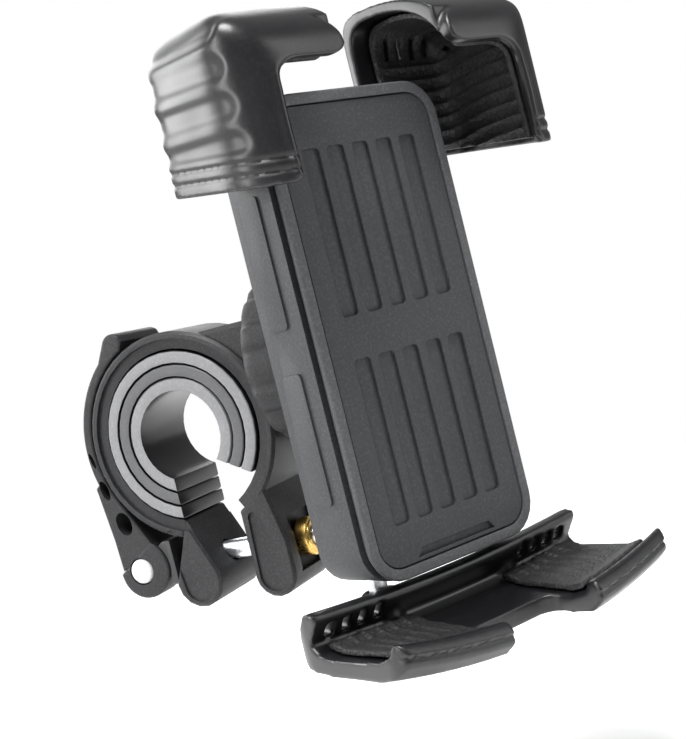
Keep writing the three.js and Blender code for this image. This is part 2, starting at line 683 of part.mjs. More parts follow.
function bowed(geometry) {
  const position = geometry.attributes.position;
  for (let i = 0; i < position.count; i += 1) {
    const share = Math.max(jawShare(position.getX(i)), 0);
    const y = position.getY(i);
    const forward = THREE.MathUtils.clamp((4 - y) / 26, 0, 1);
    position.setZ(i, position.getZ(i) - 4.6 * share * (0.35 + 0.65 * forward));
    position.setY(i, y - 2.4 * share * forward);
  }
  return geometry;
}

function jawBlank(section, halfW) {
  const geometry = extruded(polygon(section), 2 * halfW, 0, 1, 8);
  geometry.rotateX(Math.PI / 2).rotateZ(Math.PI / 2).translate(-halfW, 0, 0);
  return solid(bowed(geometry));
}

function lowerJaw() {
  let body = jawBlank(JAW_SECTION, JAW_HALF_W);
  const port = new THREE.Shape();
  port.moveTo(-12.5, -30);
  port.lineTo(12.5, -30);
  port.lineTo(12.5, -14);
  port.quadraticCurveTo(12.3, -9.5, 7.6, -9.5);
  port.lineTo(-7.6, -9.5);
  port.quadraticCurveTo(-12.3, -9.5, -12.5, -14);
  port.closePath();
  body = body.subtract(upright(port, [-90, -40]));
  const corners = roundedRect(JAW_HALF_W, 20, 7, 0, -4.6);
  body = body.intersect(upright(corners, [-90, -40], 3));
  for (const side of [-1, 1]) {
    body = body.add(bar("z", 4.2, [-63.5, -53], [side * ROD_X, ROD_Y - 0.2], 16));
    body = body.subtract(bar("z", ROD_R + GAP, [-60.5, -40], [side * ROD_X, ROD_Y], 20));
    for (let i = 0; i < 4; i += 1) {
      const x = side * (21.5 + i * 3.9);
      body = body.subtract(block([x - 0.9, x + 0.9], [3, 16], [-56.8, -54.6]));
    }
  }
  return body;
}

function jawLiner(side) {
  const section = [[-18.2, -58], [-14.6, -59.2], [0, -59.7], [4, -59.1], [3.6, -57.9], [-0.2, -58.5],
    [-14.2, -58], [-17.6, -56.9]];
  const cut = side > 0 ? [13.2, JAW_HALF_W - 3] : [-JAW_HALF_W + 3, -13.2];
  return jawBlank(section, JAW_HALF_W).intersect(block(cut, [-30, 20], [-80, -40]));
}

function guideRod(side) {
  return bar("z", ROD_R, [-60.2, -SLIDE_Z[0] - 2], [side * ROD_X, ROD_Y], 20);
}

// ---- assembly -----------------------------------------------------------------------------------
add(clamp, "clamp_body", clampBody(), "plastic");
const shimNames = ["bushing_inner", "bushing_middle", "bushing_outer"];
shimNames.forEach((name, i) => {
  const inner = BORE_R + i * SHIM_T + (i > 0 ? GAP / 2 : 0);
  const outer = BORE_R + (i + 1) * SHIM_T - GAP / 2;
  add(clamp, name, shim(inner, outer), "rubber");
});
add(clamp, "cam_lever", lever(), "plastic");
const leverPin = bar("x", PIN_R, [-LEVER_W / 2 - 0.4, LEVER_W / 2 + 0.4], [-PIVOT_F, BOLT_U], 28);
add(clamp, "lever_pin", leverPin, "steel");
add(clamp, "draw_bolt", drawBolt(), "steel");
add(clamp, "cam_plate", camPlate(), "steel");
add(clamp, "brass_nut", brassNut(), "brass");
add(clamp, "locking_collar", lockingCollar(), "plastic");
add(clamp, "ball_cup", ballCup(), "nylon");

add(holder, "joint_ball", jointBall(), "gloss");
add(holder, "ball_stud", ballStud(), "steel");
add(holder, "rear_housing", rearHousing(), "plastic");
add(holder, "front_bezel", bezel(), "plastic");
add(holder, "silicone_pad", pad(), "silicone");
for (const [name, side, half] of [["upper_right", 1, 1], ["upper_left", -1, 1], ["lower_right", 1, -1],
  ["lower_left", -1, -1]]) {
  add(holder, `housing_screw_${name}`, housingScrew(side, half), "steel");
}
add(holder, "pinion", pinion(), "nylon");
add(holder, "pinion_axle", pinionAxle(), "steel");
add(holder, "upper_slider", upperSlider(), "plastic");
add(holder, "lower_slider", lowerSlider(), "plastic");
add(holder, "upper_claw_right", upperClaw(), "gloss");
add(holder, "upper_claw_left", mirrorX(upperClaw()), "gloss");
add(holder, "claw_liner_right", clawLiner(), "silicone");
add(holder, "claw_liner_left", mirrorX(clawLiner()), "silicone");
add(holder, "lower_jaw", lowerJaw(), "gloss");
for (const [name, side] of [["right", 1], ["left", -1]]) {
  add(holder, `claw_screw_${name}`, clawScrew(side), "steel");
  add(holder, `jaw_liner_${name}`, jawLiner(side), "silicone");
  add(holder, `guide_rod_${name}`, guideRod(side), "steel");
  add(holder, `return_spring_${name}`, spring(side), "steel");
}

const mount = new THREE.Group();
mount.add(clamp, holder);
export default mount;
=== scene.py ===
import bpy
import bmesh
import math
from mathutils import Matrix, Vector


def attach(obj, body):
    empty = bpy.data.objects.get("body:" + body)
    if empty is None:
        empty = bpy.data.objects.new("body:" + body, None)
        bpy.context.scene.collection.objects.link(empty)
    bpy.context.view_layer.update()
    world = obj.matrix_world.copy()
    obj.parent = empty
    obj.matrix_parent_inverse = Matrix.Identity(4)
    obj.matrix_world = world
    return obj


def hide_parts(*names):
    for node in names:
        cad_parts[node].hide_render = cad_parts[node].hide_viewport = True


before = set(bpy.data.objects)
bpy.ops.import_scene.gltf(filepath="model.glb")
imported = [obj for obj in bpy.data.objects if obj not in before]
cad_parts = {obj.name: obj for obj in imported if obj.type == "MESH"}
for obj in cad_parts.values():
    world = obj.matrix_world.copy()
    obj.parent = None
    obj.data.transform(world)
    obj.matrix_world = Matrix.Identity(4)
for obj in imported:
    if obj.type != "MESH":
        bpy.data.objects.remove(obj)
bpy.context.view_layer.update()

MM = 0.001
TURN = math.radians(30)
ALONG_BAR = Vector((math.cos(TURN), math.sin(TURN), 0))
FORWARD = Vector((math.sin(TURN), -math.cos(TURN), 0))
UP = Vector((0, 0, 1))
BALL = Vector((16.8, -29.098, 11.3))
HOLDER = Vector((16.8, -66.098, 13.3))
PIVOT_F, PIVOT_U = -20.7, -30.7
CAM_RADIUS = 7.8
CAM_DROP = 1.5
LEVER_TRAVEL = 150
LENS_MM = 67.64
SENSOR_MM = 36
CAMERA_MM = Vector((-153.99, -277.84, 16.67))
FLOOR_HEIGHT = -0.094


# ---- camera, floor and light ----------------------------------------------------------------------
def make_camera():
    data = bpy.data.cameras.new("camera")
    data.sensor_fit = "HORIZONTAL"
    data.sensor_width = SENSOR_MM
    data.lens = LENS_MM
    data.clip_start = 0.01
    camera = bpy.data.objects.new("camera", data)
    bpy.context.collection.objects.link(camera)
    right = Vector((0.78273, -0.57336, -0.24208))
    top = Vector((0.21664, -0.11364, 0.96961))
    back = -Vector((0.58344, 0.81139, -0.03526))
    turn = Matrix((right, top, back)).transposed().to_4x4()
    camera.matrix_world = Matrix.Translation(CAMERA_MM * MM) @ turn
    bpy.context.scene.camera = camera


def softbox(name, place, aim, size, power):
    data = bpy.data.lights.new(name, "AREA")
    data.shape = "RECTANGLE"
    data.size, data.size_y = size
    data.energy = power
    light = bpy.data.objects.new(name, data)
    light.location = place
    light.rotation_mode = "QUATERNION"
    light.rotation_quaternion = (Vector(aim) - Vector(place)).to_track_quat("-Z", "Y")
    bpy.context.collection.objects.link(light)


def make_backdrop():
    """White behind the object; a softer sky, darker towards the ground, is what lights it."""
    world = bpy.data.worlds.new("studio")
    world.use_nodes = True
    nodes, links = world.node_tree.nodes, world.node_tree.links
    nodes.clear()
    place = nodes.new("ShaderNodeTexCoord")
    split = nodes.new("ShaderNodeSeparateXYZ")
    links.new(place.outputs["Generated"], split.inputs["Vector"])
    sky = nodes.new("ShaderNodeMapRange")
    sky.inputs["From Min"].default_value = -0.5
    sky.inputs["From Max"].default_value = 0.9
    sky.inputs["To Min"].default_value = 0.05
    sky.inputs["To Max"].default_value = 0.42
    links.new(split.outputs["Z"], sky.inputs["Value"])
    seen = nodes.new("ShaderNodeLightPath")
    level = nodes.new("ShaderNodeMix")
    level.inputs["B"].default_value = 1.0
    links.new(seen.outputs["Is Camera Ray"], level.inputs["Factor"])
    links.new(sky.outputs["Result"], level.inputs["A"])
    light = nodes.new("ShaderNodeBackground")
    light.inputs["Color"].default_value = (1, 1, 1, 1)
    links.new(level.outputs["Result"], light.inputs["Strength"])
    end = nodes.new("ShaderNodeOutputWorld")
    links.new(light.outputs["Background"], end.inputs["Surface"])
    bpy.context.scene.world = world


def make_floor():
    """A pale floor, below the lowest reach of the jaw and lever, that fades to white away from them."""
    bpy.ops.mesh.primitive_plane_add(size=12, location=(0, 0, FLOOR_HEIGHT))
    floor = bpy.context.object
    floor.name = "floor"
    pale = bpy.data.materials.new("pale_floor")
    pale.use_nodes = True
    nodes, links = pale.node_tree.nodes, pale.node_tree.links
    shader = nodes["Principled BSDF"]
    shader.inputs["Base Color"].default_value = (0.97, 0.97, 0.97, 1)
    shader.inputs["Roughness"].default_value = 0.9
    shader.inputs["Specular IOR Level"].default_value = 0.1
    place = nodes.new("ShaderNodeTexCoord")
    reach = nodes.new("ShaderNodeVectorMath")
    reach.operation = "LENGTH"
    links.new(place.outputs["Object"], reach.inputs[0])
    fade = nodes.new("ShaderNodeMapRange")
    fade.inputs["From Min"].default_value = 0.16
    fade.inputs["From Max"].default_value = 0.45
    links.new(reach.outputs["Value"], fade.inputs["Value"])
    glow = nodes.new("ShaderNodeEmission")
    mix = nodes.new("ShaderNodeMixShader")
    links.new(fade.outputs["Result"], mix.inputs["Fac"])
    links.new(shader.outputs["BSDF"], mix.inputs[1])
    links.new(glow.outputs["Emission"], mix.inputs[2])
    links.new(mix.outputs["Shader"], nodes["Material Output"].inputs["Surface"])
    floor.data.materials.append(pale)


def make_studio():
    make_backdrop()
    make_floor()
    bpy.context.scene.view_settings.view_transform = "Standard"
    aim = (0.01, -0.03, 0.02)
    softbox("top_softbox", (-0.22, -0.22, 0.75), aim, (0.4, 0.4), 12)
    softbox("left_softbox", (-0.72, -0.02, 0.22), aim, (0.22, 0.6), 4.5)
    softbox("right_softbox", (0.5, -0.65, 0.25), aim, (0.3, 0.7), 2.0)
    softbox("rear_left_softbox", (-0.52, 0.72, 0.30), aim, (0.3, 0.6), 7)
    softbox("back_softbox", (0.25, 0.7, 0.45), aim, (0.7, 0.5), 4)


# ---- finishes -------------------------------------------------------------------------------------
def node_group(name, inputs, outputs):
    group = bpy.data.node_groups.new(name, "ShaderNodeTree")
    for label, kind, value in inputs:
        socket = group.interface.new_socket(label, in_out="INPUT", socket_type=kind)
        if value is not None:
            socket.default_value = value
    for label, kind in outputs:
        group.interface.new_socket(label, in_out="OUTPUT", socket_type=kind)
    start = group.nodes.new("NodeGroupInput")
    end = group.nodes.new("NodeGroupOutput")
    return group, start, end


def grain_group():
    """Fine moulded grain: a speckled colour, an uneven roughness and the height of the grain."""
    group, start, end = node_group(
        "moulded_grain",
        [("Colour", "NodeSocketColor", (0.05, 0.05, 0.05, 1)),
         ("Fleck", "NodeSocketColor", (0.1, 0.1, 0.1, 1)),
         ("Scale", "NodeSocketFloat", 1800),
         ("Roughness", "NodeSocketFloat", 0.55),
         ("Spread", "NodeSocketFloat", 0.12)],
        [("Colour", "NodeSocketColor"), ("Roughness", "NodeSocketFloat"), ("Height", "NodeSocketFloat")])
    nodes, links = group.nodes, group.links
    place = nodes.new("ShaderNodeTexCoord")
    fine = nodes.new("ShaderNodeTexNoise")
    fine.inputs["Detail"].default_value = 3
    links.new(place.outputs["Object"], fine.inputs["Vector"])
    links.new(start.outputs["Scale"], fine.inputs["Scale"])
    broad = nodes.new("ShaderNodeTexNoise")
    broad.inputs["Scale"].default_value = 60
    broad.inputs["Detail"].default_value = 4
    links.new(place.outputs["Object"], broad.inputs["Vector"])
    fleck = nodes.new("ShaderNodeMapRange")
    fleck.inputs["From Min"].default_value = 0.48
    fleck.inputs["From Max"].default_value = 0.68
    links.new(fine.outputs["Fac"], fleck.inputs["Value"])
    tint = nodes.new("ShaderNodeMix")
    tint.data_type = "RGBA"
    links.new(fleck.outputs["Result"], tint.inputs["Factor"])
    links.new(start.outputs["Colour"], tint.inputs["A"])
    links.new(start.outputs["Fleck"], tint.inputs["B"])
    uneven = nodes.new("ShaderNodeMapRange")
    uneven.inputs["From Min"].default_value = 0.3
    uneven.inputs["From Max"].default_value = 0.7
    uneven.inputs["To Min"].default_value = -1
    links.new(broad.outputs["Fac"], uneven.inputs["Value"])
    rough = nodes.new("ShaderNodeMath")
    rough.operation = "MULTIPLY_ADD"
    links.new(uneven.outputs["Result"], rough.inputs[0])
    links.new(start.outputs["Spread"], rough.inputs[1])
    links.new(start.outputs["Roughness"], rough.inputs[2])
    links.new(tint.outputs["Result"], end.inputs["Colour"])
    links.new(rough.outputs["Value"], end.inputs["Roughness"])
    links.new(fine.outputs["Fac"], end.inputs["Height"])
    return group


def leather_group():
    """Pebbled grain of the soft liners, with painted shade darkening the creases between pebbles."""
    group, start, end = node_group(
        "pebbled_grain",
        [("Colour", "NodeSocketColor", (0.02, 0.02, 0.02, 1)),
         ("Crease shade", "NodeSocketColor", (0.01, 0.01, 0.01, 1)),
         ("Scale", "NodeSocketFloat", 900)],
        [("Colour", "NodeSocketColor"), ("Height", "NodeSocketFloat")])
    nodes, links = group.nodes, group.links
    place = nodes.new("ShaderNodeTexCoord")
    pebble = nodes.new("ShaderNodeTexVoronoi")
    pebble.feature = "DISTANCE_TO_EDGE"
    links.new(place.outputs["Object"], pebble.inputs["Vector"])
    links.new(start.outputs["Scale"], pebble.inputs["Scale"])
    rise = nodes.new("ShaderNodeMapRange")
    rise.inputs["From Max"].default_value = 0.25
    links.new(pebble.outputs["Distance"], rise.inputs["Value"])
    # Painted shade: the creases between pebbles take the darker crease colour.
    tint = nodes.new("ShaderNodeMix")
    tint.data_type = "RGBA"
    links.new(rise.outputs["Result"], tint.inputs["Factor"])
    links.new(start.outputs["Crease shade"], tint.inputs["A"])
    links.new(start.outputs["Colour"], tint.inputs["B"])
    links.new(tint.outputs["Result"], end.inputs["Colour"])
    links.new(rise.outputs["Result"], end.inputs["Height"])
    return group


GRAIN = grain_group()
PEBBLE = leather_group()


def plain_material(name, roughness, metallic=0.0, specular=0.5, coat=0.0):
    material = bpy.data.materials.new(name)
    material.use_nodes = True
    shader = material.node_tree.nodes["Principled BSDF"]
    shader.inputs["Roughness"].default_value = roughness
    shader.inputs["Metallic"].default_value = metallic
    shader.inputs["Specular IOR Level"].default_value = specular
    shader.inputs["Coat Weight"].default_value = coat
    return material, shader


def height_into(material, shader, socket, strength, distance):
    bump = material.node_tree.nodes.new("ShaderNodeBump")
    bump.inputs["Strength"].default_value = strength
    bump.inputs["Distance"].default_value = distance * MM
    material.node_tree.links.new(socket, bump.inputs["Height"])
    material.node_tree.links.new(bump.outputs["Normal"], shader.inputs["Normal"])


def grained(name, colour, fleck, scale, roughness, spread, bump, metallic=0.0, specular=0.5, coat=0.0):
    material, shader = plain_material(name, roughness, metallic, specular, coat)
    grain = material.node_tree.nodes.new("ShaderNodeGroup")
    grain.node_tree = GRAIN
    grain.inputs["Colour"].default_value = (*colour, 1)
    grain.inputs["Fleck"].default_value = (*fleck, 1)
    grain.inputs["Scale"].default_value = scale
    grain.inputs["Roughness"].default_value = roughness
    grain.inputs["Spread"].default_value = spread
    links = material.node_tree.links
    links.new(grain.outputs["Colour"], shader.inputs["Base Color"])
    links.new(grain.outputs["Roughness"], shader.inputs["Roughness"])
    height_into(material, shader, grain.outputs["Height"], bump, 0.12)
    return material


def pebbled(name, colour, crease_shade, scale, roughness, bump):
    material, shader = plain_material(name, roughness)
    grain = material.node_tree.nodes.new("ShaderNodeGroup")
    grain.node_tree = PEBBLE
    grain.inputs["Colour"].default_value = (*colour, 1)
    grain.inputs["Crease shade"].default_value = (*crease_shade, 1)
    grain.inputs["Scale"].default_value = scale
    material.node_tree.links.new(grain.outputs["Colour"], shader.inputs["Base Color"])
    height_into(material, shader, grain.outputs["Height"], bump, 0.15)
    return material


def rubber_with_painted_shade(name, face, painted_shade):
    """Rubber whose moulded end faces are pale, while its bore, rim and slit get painted shade: a near-black
    colour picked by which way each face points, and a shinier finish.
    """
    material, shader = plain_material(name, 0.5)
    nodes, links = material.node_tree.nodes, material.node_tree.links
    grain = nodes.new("ShaderNodeGroup")
    grain.node_tree = GRAIN
    grain.inputs["Colour"].default_value = (*[0.85 * c for c in face], 1)
    grain.inputs["Fleck"].default_value = (*face, 1)
    grain.inputs["Scale"].default_value = 1500
    place = nodes.new("ShaderNodeTexCoord")
    across = nodes.new("ShaderNodeVectorMath")
    across.operation = "DOT_PRODUCT"
    across.inputs[1].default_value = ALONG_BAR
    links.new(place.outputs["Normal"], across.inputs[0])
    size = nodes.new("ShaderNodeMath")
    size.operation = "ABSOLUTE"
    links.new(across.outputs["Value"], size.inputs[0])
    end_face = nodes.new("ShaderNodeMapRange")
    end_face.inputs["From Min"].default_value = 0.6
    end_face.inputs["From Max"].default_value = 0.9
    links.new(size.outputs["Value"], end_face.inputs["Value"])
    # Painted shade: faces not turned along the bar (bore, rim and slit) take the near-black colour passed in,
    # not the rubber's own.
    tint = nodes.new("ShaderNodeMix")
    tint.data_type = "RGBA"
    tint.inputs["A"].default_value = (*painted_shade, 1)
    links.new(end_face.outputs["Result"], tint.inputs["Factor"])
    links.new(grain.outputs["Colour"], tint.inputs["B"])
    links.new(tint.outputs["Result"], shader.inputs["Base Color"])
    sheen = nodes.new("ShaderNodeMapRange")
    sheen.inputs["To Min"].default_value = 0.28
    sheen.inputs["To Max"].default_value = 0.66
    links.new(end_face.outputs["Result"], sheen.inputs["Value"])
    links.new(sheen.outputs["Result"], shader.inputs["Roughness"])
    height_into(material, shader, grain.outputs["Height"], 0.2, 0.1)
    return material


MATT = grained("matt_nylon", (0.012, 0.012, 0.013), (0.024, 0.024, 0.026),
               1900, 0.55, 0.05, 0.35, specular=0.3)
CASE = grained("case_nylon", (0.024, 0.025, 0.027), (0.042, 0.043, 0.046),
               1900, 0.55, 0.05, 0.35, specular=0.35)
BEZEL = grained("bezel_nylon", (0.062, 0.063, 0.066), (0.09, 0.091, 0.095),
                1900, 0.58, 0.05, 0.3, specular=0.35)
FACE = grained("pad_silicone", (0.036, 0.037, 0.040), (0.05, 0.051, 0.055),
               1700, 0.62, 0.05, 0.2, specular=0.3)
GLOSS = grained("soft_gloss_plastic", (0.004, 0.004, 0.005), (0.008, 0.008, 0.009), 1500, 0.35, 0.05, 0.1)
SATIN = grained("satin_plastic", (0.012, 0.012, 0.013), (0.02, 0.02, 0.021), 1600, 0.42, 0.05, 0.15)
# The last colour of each rubber is the painted shade for its bore, rim and slit.
LIGHT_RUBBER = rubber_with_painted_shade("light_rubber", (0.185, 0.185, 0.19), (0.006, 0.006, 0.007))
DARK_RUBBER = rubber_with_painted_shade("dark_rubber", (0.078, 0.078, 0.081), (0.006, 0.006, 0.007))
# The second colour is painted shade in the creases between pebbles.
LINER = pebbled("liner_rubber", (0.012, 0.012, 0.013), (0.004, 0.004, 0.004), 700, 0.6, 0.7)
STEEL = grained("bright_steel", (0.62, 0.63, 0.65), (0.74, 0.75, 0.77), 2600, 0.28, 0.05, 0.05, metallic=1.0)
BLACK_STEEL = grained("blackened_steel", (0.10, 0.10, 0.11), (0.16, 0.16, 0.17),
                      2600, 0.38, 0.05, 0.05, metallic=1.0)
PIN_FINISH = grained("satin_pin", (0.42, 0.42, 0.42), (0.52, 0.52, 0.51), 1500, 0.5, 0.05, 0.1)
BRASS = grained("turned_brass", (0.66, 0.43, 0.12), (0.78, 0.54, 0.18), 2600, 0.3, 0.05, 0.06, metallic=1.0)
PALE = grained("pale_nylon", (0.5, 0.48, 0.43), (0.58, 0.56, 0.5), 1200, 0.5, 0.05, 0.15)

CAD_FINISH = {
    "clamp_body": MATT, "cam_lever": MATT, "locking_collar": MATT, "upper_slider": MATT, "lower_slider": MATT,
    "rear_housing": CASE, "front_bezel": BEZEL, "silicone_pad": FACE,
    "bushing_inner": LIGHT_RUBBER, "bushing_middle": DARK_RUBBER, "bushing_outer": LIGHT_RUBBER,
    "upper_claw_right": GLOSS, "upper_claw_left": GLOSS, "lower_jaw": GLOSS, "joint_ball": GLOSS,
    "claw_liner_right": LINER, "claw_liner_left": LINER, "jaw_liner_right": LINER, "jaw_liner_left": LINER,
    "ball_cup": PALE, "pinion": PALE, "brass_nut": BRASS, "lever_pin": PIN_FINISH,
    "housing_screw_upper_right": BLACK_STEEL, "housing_screw_upper_left": BLACK_STEEL,
    "housing_screw_lower_right": BLACK_STEEL, "housing_screw_lower_left": BLACK_STEEL,
}


def finish_cad_nodes():
    """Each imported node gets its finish, merged corners and softened edges."""
    for name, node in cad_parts.items():
        node.data.materials.clear()
        node.data.materials.append(CAD_FINISH.get(name, STEEL))
        weld = node.modifiers.new("weld", "WELD")
        weld.merge_threshold = 0.00001
        flat = node.modifiers.new("flatten", "DECIMATE")
        flat.decimate_type = "DISSOLVE"
        flat.angle_limit = math.radians(1)
        edge = node.modifiers.new("edge", "BEVEL")
        edge.width = 0.35 * MM
        edge.segments = 2
        edge.limit_method = "ANGLE"
        edge.angle_limit = math.radians(35)


# ---- making pieces --------------------------------------------------------------------------------
HOLDER_PLATE = Matrix(((1, 0, 0, HOLDER.x), (0, 0, -1, HOLDER.y), (0, 1, 0, HOLDER.z), (0, 0, 0, 1)))
HOLDER_SIDE = Matrix(((0, 0, 1, HOLDER.x), (1, 0, 0, HOLDER.y), (0, 1, 0, HOLDER.z), (0, 0, 0, 1)))
HOLDER_PLAN = Matrix.Translation(HOLDER)
CLAMP_SIDE = Matrix(((FORWARD.x, 0, -ALONG_BAR.x, 0), (FORWARD.y, 0, -ALONG_BAR.y, 0),
                     (0, 1, 0, 0), (0, 0, 0, 1)))


def arc(cx, cy, r, start, end, count=12):
    angles = [math.radians(start + (end - start) * i / count) for i in range(count + 1)]
    return [(cx + r * math.cos(a), cy + r * math.sin(a)) for a in angles]


def curve_through(a, b, c, count=10):
    points = []
    for i in range(count + 1):
        t = i / count
        points.append(tuple((1 - t) ** 2 * a[k] + 2 * t * (1 - t) * b[k] + t * t * c[k] for k in (0, 1)))
    return points


def rounded(half_w, half_h, r, cx=0, cy=0, count=8):
    corners = [(1, 1, 0), (-1, 1, 90), (-1, -1, 180), (1, -1, 270)]
    points = []
    for sx, sy, start in corners:
        points += arc(cx + sx * (half_w - r), cy + sy * (half_h - r), r, start, start + 90, count)
    return points


def make_active(piece):
    bpy.ops.object.select_all(action="DESELECT")
    piece.select_set(True)
    bpy.context.view_layer.objects.active = piece


def clean(piece):
    """Merges doubled corners and turns every face outwards."""
    make_active(piece)
    bpy.ops.object.mode_set(mode="EDIT")
    bpy.ops.mesh.select_all(action="SELECT")
    bpy.ops.mesh.remove_doubles(threshold=0.000004)
    bpy.ops.mesh.normals_make_consistent(inside=False)
    bpy.ops.object.mode_set(mode="OBJECT")


def cut_plate(name, outlines, span, place, edge=0.0, rounding=2):
    """A plate with the given outlines in millimetres, between two heights, with rounded edges."""
    data = bpy.data.curves.new(name, "CURVE")
    data.dimensions = "2D"
    data.fill_mode = "BOTH"
    data.extrude = (span[1] - span[0]) / 2 - edge
    data.bevel_depth = edge
    data.bevel_resolution = rounding
    data.offset = -edge
    for outline in outlines:
        spline = data.splines.new("POLY")
        spline.points.add(len(outline) - 1)
        for point, (x, y) in zip(spline.points, outline):
            point.co = (x, y, 0, 1)
        spline.use_cyclic_u = True
    piece = bpy.data.objects.new(name, data)
    bpy.context.collection.objects.link(piece)
    make_active(piece)
    bpy.ops.object.convert(target="MESH")
    piece = bpy.context.object
    piece.data.transform(Matrix.Translation((0, 0, (span[0] + span[1]) / 2)))
    piece.data.transform(Matrix.Scale(MM, 4) @ place)
    clean(piece)
    return piece


def block(name, low, high):
    """A block between two corners of the holder's frame."""
    size = Vector(high) - Vector(low)
    bpy.ops.mesh.primitive_cube_add(size=1)
    piece = bpy.context.object
    piece.name = name
    middle = (Vector(high) + Vector(low)) / 2 + HOLDER
    piece.data.transform(Matrix.Scale(MM, 4) @ Matrix.Translation(middle) @ Matrix.Diagonal((*size, 1)))
    return piece


def rod(name, radius, start, end, sides=32):
    """A round rod between two points of the holder's frame."""
    run = Vector(end) - Vector(start)
    bpy.ops.mesh.primitive_cylinder_add(vertices=sides, radius=radius, depth=run.length)
    piece = bpy.context.object
    piece.name = name
    turn = run.to_track_quat("Z", "Y").to_matrix().to_4x4()
    middle = (Vector(start) + Vector(end)) / 2 + HOLDER
    piece.data.transform(Matrix.Scale(MM, 4) @ Matrix.Translation(middle) @ turn)
    return piece


def wire_path(name, points, radius):
    """A round wire through points of the holder's frame, its ends left inside other material."""
    data = bpy.data.curves.new(name, "CURVE")
    data.dimensions = "3D"
    data.bevel_depth = radius
    data.bevel_resolution = 3
    data.use_fill_caps = True
    spline = data.splines.new("BEZIER")
    spline.bezier_points.add(len(points) - 1)
    for knot, point in zip(spline.bezier_points, points):
        knot.co = point
        knot.handle_left_type = knot.handle_right_type = "AUTO"
    piece = bpy.data.objects.new(name, data)
    bpy.context.collection.objects.link(piece)
    make_active(piece)
    bpy.ops.object.convert(target="MESH")
    piece = bpy.context.object
    piece.data.transform(Matrix.Scale(MM, 4) @ Matrix.Translation(HOLDER))
    clean(piece)
    return piece


def apply(piece, kind, **settings):
    modifier = piece.modifiers.new(kind.lower(), kind)
    for label, value in settings.items():
        setattr(modifier, label, value)
    make_active(piece)
    bpy.ops.object.modifier_apply(modifier=modifier.name)


def combine(piece, other, operation):
    apply(piece, "BOOLEAN", object=other, operation=operation, solver="EXACT")
    bpy.data.objects.remove(other)
    return piece


def copy_of(piece, name):
    twin = piece.copy()
    twin.data = piece.data.copy()
    twin.name = name
    bpy.context.collection.objects.link(twin)
    return twin


def mirrored(piece, name):
    twin = copy_of(piece, name)
    about = Matrix.Translation((HOLDER.x * MM, 0, 0))
    twin.data.transform(about @ Matrix.Scale(-1, 4, (1, 0, 0)) @ about.inverted())
    twin.data.flip_normals()
    return twin


def moulded(piece, grain, smoothing):
    """Remeshes a joined solid evenly and rounds all its edges, as a moulding has them."""
    apply(piece, "REMESH", mode="VOXEL", voxel_size=grain * MM)
    apply(piece, "SMOOTH", factor=0.5, iterations=smoothing)


def carve(piece, depth_at):
    """Moves the surface along its normal by depth_at(place, normal), both in the holder's frame."""
    mesh = piece.data
    normals = [v.normal.copy() for v in mesh.vertices]
    for vertex, normal in zip(mesh.vertices, normals):
        place = vertex.co / MM - HOLDER
        move = depth_at(place, normal)
        if move:
            vertex.co += normal * (move * MM)
    mesh.update()


def dip(value, centre, half_width):
    """1 in the middle of a rounded groove, 0 outside it."""
    off = abs(value - centre) / half_width
    return 0.5 + 0.5 * math.cos(math.pi * off) if off < 1 else 0.0


def ramp(value, low, high):
    share = min(max((value - low) / (high - low), 0), 1)
    return share * share * (3 - 2 * share)


def smoothed_node(node, name, body, finish, slot, edge=0.35, bend=32):
    """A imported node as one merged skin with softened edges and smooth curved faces."""
    piece = copy_of(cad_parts[node], name)
    piece.modifiers.clear()
    make_active(piece)
    bpy.ops.object.mode_set(mode="EDIT")
    bpy.ops.mesh.select_all(action="SELECT")
    bpy.ops.mesh.remove_doubles(threshold=0.00001)
    bpy.ops.object.mode_set(mode="OBJECT")
    apply(piece, "DECIMATE", decimate_type="DISSOLVE", angle_limit=math.radians(1))
    if edge:
        apply(piece, "BEVEL", width=edge * MM, segments=3, limit_method="ANGLE",
              angle_limit=math.radians(bend))
    return finished(piece, name, body, finish, slot, node, angle=bend)


def finished(piece, name, body, finish, slot, *nodes, angle=40):
    piece.name = name
    piece.data.name = name
    piece.data.materials.clear()
    piece.data.materials.append(finish)
    make_active(piece)
    bpy.ops.object.shade_smooth_by_angle(angle=math.radians(angle))
    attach(piece, body)
    if nodes:
        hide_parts(*nodes)
    return piece


# ---- upper claws ----------------------------------------------------------------------------------
CLAW_IN = 13.5
CLAW_OUT = 40.5
CLAW_BACK = 14
CLAW_FRONT = -20


